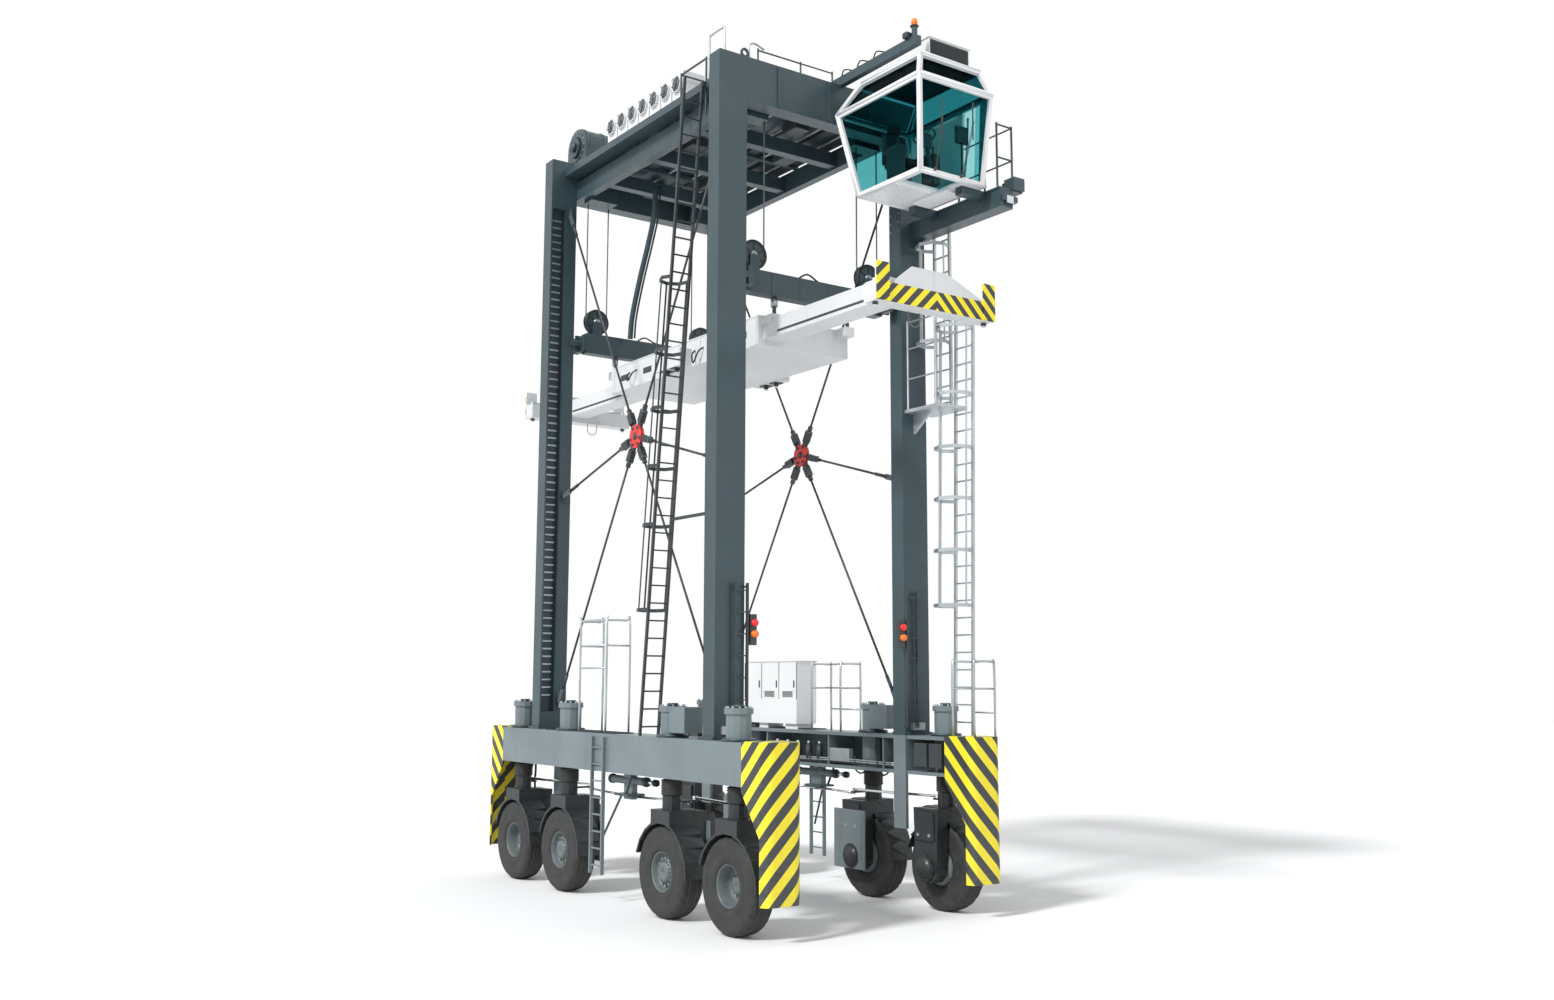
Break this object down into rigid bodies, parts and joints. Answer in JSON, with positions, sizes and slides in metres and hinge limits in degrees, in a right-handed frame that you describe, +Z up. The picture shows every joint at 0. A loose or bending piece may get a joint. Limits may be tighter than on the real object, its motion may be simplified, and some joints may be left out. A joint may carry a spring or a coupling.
{
  "type": "straddle carrier",
  "caption": "Tall portal machine on two rows of steered wheels that drives over freight containers and lifts them with a telescopic spreader.",
  "frame": {"origin": "on the ground, under the centre of the machine's outer box", "axes": "+X forwards, towards the cab end; +Y to the machine's left; +Z up"},
  "size_m": [12.325, 4.91, 15.24],
  "materials": {
    "grey_blue_paint": "semi-gloss grey-blue paint",
    "fork_black_paint": "black paint",
    "tyre_rubber": "worn rubber",
    "rim_grey_paint": "mid-grey paint",
    "light_grey_paint": "light grey paint",
    "stripe_yellow": "yellow paint with dark stripes",
    "star_red": "red paint",
    "zinc": "galvanised steel",
    "dark_steel": "dark paint",
    "white_paint": "white paint",
    "tinted_glass": "tinted safety glass"
  },
  "bodies": {
    "chassis": {"leg_front_right": "grey_blue_paint", "bumper_front_right": "stripe_yellow", "leg_rear_right": "grey_blue_paint", "bumper_rear_right": "stripe_yellow", "side_beam_right": "grey_blue_paint", "star_brace_right": "star_red", "leg_front_left": "grey_blue_paint", "bumper_front_left": "stripe_yellow", "leg_rear_left": "grey_blue_paint", "bumper_rear_left": "stripe_yellow", "side_beam_left": "grey_blue_paint", "star_brace_left": "star_red", "caged_ladder_right": "dark_steel", "caged_ladder_left": "zinc", "cross_beam_front": "grey_blue_paint", "cross_beam_rear": "grey_blue_paint", "winch_hood": "grey_blue_paint", "machinery_deck": "grey_blue_paint", "cooler_row": "white_paint", "control_cabinet": "white_paint", "cab_shell": "white_paint", "cab_glass": "tinted_glass", "cab_carrier": "grey_blue_paint"},
    "fork_front_outer_right": {"fork_front_outer_right": "fork_black_paint"},
    "wheel_front_outer_right": {"tyre_front_outer_right": "tyre_rubber", "rim_front_outer_right": "rim_grey_paint"},
    "fork_front_inner_right": {"fork_front_inner_right": "fork_black_paint"},
    "wheel_front_inner_right": {"tyre_front_inner_right": "tyre_rubber", "rim_front_inner_right": "rim_grey_paint"},
    "fork_rear_inner_right": {"fork_rear_inner_right": "fork_black_paint"},
    "wheel_rear_inner_right": {"tyre_rear_inner_right": "tyre_rubber", "rim_rear_inner_right": "rim_grey_paint"},
    "fork_rear_outer_right": {"fork_rear_outer_right": "fork_black_paint"},
    "wheel_rear_outer_right": {"tyre_rear_outer_right": "tyre_rubber", "rim_rear_outer_right": "rim_grey_paint"},
    "tie_rod_front_right": {"tie_rod_front_right": "zinc"},
    "tie_rod_rear_right": {"tie_rod_rear_right": "zinc"},
    "fork_front_outer_left": {"fork_front_outer_left": "fork_black_paint"},
    "wheel_front_outer_left": {"tyre_front_outer_left": "tyre_rubber", "rim_front_outer_left": "rim_grey_paint"},
    "fork_front_inner_left": {"fork_front_inner_left": "fork_black_paint"},
    "wheel_front_inner_left": {"tyre_front_inner_left": "tyre_rubber", "rim_front_inner_left": "rim_grey_paint"},
    "fork_rear_inner_left": {"fork_rear_inner_left": "fork_black_paint"},
    "wheel_rear_inner_left": {"tyre_rear_inner_left": "tyre_rubber", "rim_rear_inner_left": "rim_grey_paint"},
    "fork_rear_outer_left": {"fork_rear_outer_left": "fork_black_paint"},
    "wheel_rear_outer_left": {"tyre_rear_outer_left": "tyre_rubber", "rim_rear_outer_left": "rim_grey_paint"},
    "tie_rod_front_left": {"tie_rod_front_left": "zinc"},
    "tie_rod_rear_left": {"tie_rod_rear_left": "zinc"},
    "hoist": {"lift_frame_front": "grey_blue_paint", "lift_frame_rear": "grey_blue_paint", "spreader_frame": "light_grey_paint"},
    "telescope_front": {"spreader_front": "light_grey_paint"},
    "telescope_rear": {"spreader_rear": "light_grey_paint"},
    "door": {"cab_door": "white_paint"}
  },
  "joints": [
    {"name": "steer_front_outer_right", "type": "hinge", "parent": "chassis", "child": "fork_front_outer_right", "pos_m": [3.83, -2.145, 1.74], "axis": [0, 0, 1], "range_deg": [-20, 20]},
    {"name": "roll_front_outer_right", "type": "hinge", "parent": "fork_front_outer_right", "child": "wheel_front_outer_right", "pos_m": [3.83, -2.145, 0.7475], "axis": [0, 1, 0], "continuous": true},
    {"name": "steer_front_inner_right", "type": "hinge", "parent": "chassis", "child": "fork_front_inner_right", "pos_m": [1.85, -2.145, 1.74], "axis": [0, 0, 1], "range_deg": [-9.6, 9.6]},
    {"name": "roll_front_inner_right", "type": "hinge", "parent": "fork_front_inner_right", "child": "wheel_front_inner_right", "pos_m": [1.85, -2.145, 0.7475], "axis": [0, 1, 0], "continuous": true},
    {"name": "steer_rear_inner_right", "type": "hinge", "parent": "chassis", "child": "fork_rear_inner_right", "pos_m": [-1.85, -2.145, 1.74], "axis": [0, 0, 1], "range_deg": [-9.6, 9.6]},
    {"name": "roll_rear_inner_right", "type": "hinge", "parent": "fork_rear_inner_right", "child": "wheel_rear_inner_right", "pos_m": [-1.85, -2.145, 0.7475], "axis": [0, 1, 0], "continuous": true},
    {"name": "steer_rear_outer_right", "type": "hinge", "parent": "chassis", "child": "fork_rear_outer_right", "pos_m": [-3.83, -2.145, 1.74], "axis": [0, 0, 1], "range_deg": [-20, 20]},
    {"name": "roll_rear_outer_right", "type": "hinge", "parent": "fork_rear_outer_right", "child": "wheel_rear_outer_right", "pos_m": [-3.83, -2.145, 0.7475], "axis": [0, 1, 0], "continuous": true},
    {"name": "pin_tie_rod_front_right", "type": "hinge", "parent": "fork_front_outer_right", "child": "tie_rod_front_right", "pos_m": [3.83, -1.925, 1.9103], "axis": [0, 0, 1], "range_deg": [-20, 20]},
    {"name": "pin_tie_rod_rear_right", "type": "hinge", "parent": "fork_rear_outer_right", "child": "tie_rod_rear_right", "pos_m": [-3.83, -1.925, 1.9103], "axis": [0, 0, 1], "range_deg": [-20, 20]},
    {"name": "steer_front_outer_left", "type": "hinge", "parent": "chassis", "child": "fork_front_outer_left", "pos_m": [3.83, 2.145, 1.74], "axis": [0, 0, 1], "range_deg": [-20, 20]},
    {"name": "roll_front_outer_left", "type": "hinge", "parent": "fork_front_outer_left", "child": "wheel_front_outer_left", "pos_m": [3.83, 2.145, 0.7475], "axis": [0, 1, 0], "continuous": true},
    {"name": "steer_front_inner_left", "type": "hinge", "parent": "chassis", "child": "fork_front_inner_left", "pos_m": [1.85, 2.145, 1.74], "axis": [0, 0, 1], "range_deg": [-9.6, 9.6]},
    {"name": "roll_front_inner_left", "type": "hinge", "parent": "fork_front_inner_left", "child": "wheel_front_inner_left", "pos_m": [1.85, 2.145, 0.7475], "axis": [0, 1, 0], "continuous": true},
    {"name": "steer_rear_inner_left", "type": "hinge", "parent": "chassis", "child": "fork_rear_inner_left", "pos_m": [-1.85, 2.145, 1.74], "axis": [0, 0, 1], "range_deg": [-9.6, 9.6]},
    {"name": "roll_rear_inner_left", "type": "hinge", "parent": "fork_rear_inner_left", "child": "wheel_rear_inner_left", "pos_m": [-1.85, 2.145, 0.7475], "axis": [0, 1, 0], "continuous": true},
    {"name": "steer_rear_outer_left", "type": "hinge", "parent": "chassis", "child": "fork_rear_outer_left", "pos_m": [-3.83, 2.145, 1.74], "axis": [0, 0, 1], "range_deg": [-20, 20]},
    {"name": "roll_rear_outer_left", "type": "hinge", "parent": "fork_rear_outer_left", "child": "wheel_rear_outer_left", "pos_m": [-3.83, 2.145, 0.7475], "axis": [0, 1, 0], "continuous": true},
    {"name": "pin_tie_rod_front_left", "type": "hinge", "parent": "fork_front_outer_left", "child": "tie_rod_front_left", "pos_m": [3.83, 1.925, 1.9103], "axis": [0, 0, 1], "range_deg": [-20, 20]},
    {"name": "pin_tie_rod_rear_left", "type": "hinge", "parent": "fork_rear_outer_left", "child": "tie_rod_rear_left", "pos_m": [-3.83, 1.925, 1.9103], "axis": [0, 0, 1], "range_deg": [-20, 20]},
    {"name": "hoist_lift", "type": "slide", "parent": "chassis", "child": "hoist", "axis": [0, 0, 1], "range_m": [-7.2, 1.8]},
    {"name": "telescope_front", "type": "slide", "parent": "hoist", "child": "telescope_front", "axis": [1, 0, 0], "range_m": [-3.066, 0.762]},
    {"name": "telescope_rear", "type": "slide", "parent": "hoist", "child": "telescope_rear", "axis": [-1, 0, 0], "range_m": [-3.066, 0.762]},
    {"name": "cab_door_slide", "type": "slide", "parent": "chassis", "child": "door", "axis": [1, 0, 0], "range_m": [0, 0.66]}
  ],
  "couplings": [
    {"joint": "steer_front_inner_right", "follows": "steer_front_outer_right", "ratio": 0.479},
    {"joint": "steer_rear_inner_right", "follows": "steer_front_outer_right", "ratio": -0.479},
    {"joint": "steer_rear_outer_right", "follows": "steer_front_outer_right", "ratio": -1},
    {"joint": "pin_tie_rod_front_right", "follows": "steer_front_outer_right", "ratio": -1},
    {"joint": "pin_tie_rod_rear_right", "follows": "steer_front_outer_right", "ratio": 1},
    {"joint": "steer_front_outer_left", "follows": "steer_front_outer_right", "ratio": 1},
    {"joint": "steer_front_inner_left", "follows": "steer_front_outer_right", "ratio": 0.479},
    {"joint": "steer_rear_inner_left", "follows": "steer_front_outer_right", "ratio": -0.479},
    {"joint": "steer_rear_outer_left", "follows": "steer_front_outer_right", "ratio": -1},
    {"joint": "pin_tie_rod_front_left", "follows": "steer_front_outer_right", "ratio": -1},
    {"joint": "pin_tie_rod_rear_left", "follows": "steer_front_outer_right", "ratio": 1},
    {"joint": "telescope_rear", "follows": "telescope_front", "ratio": 1}
  ]
}
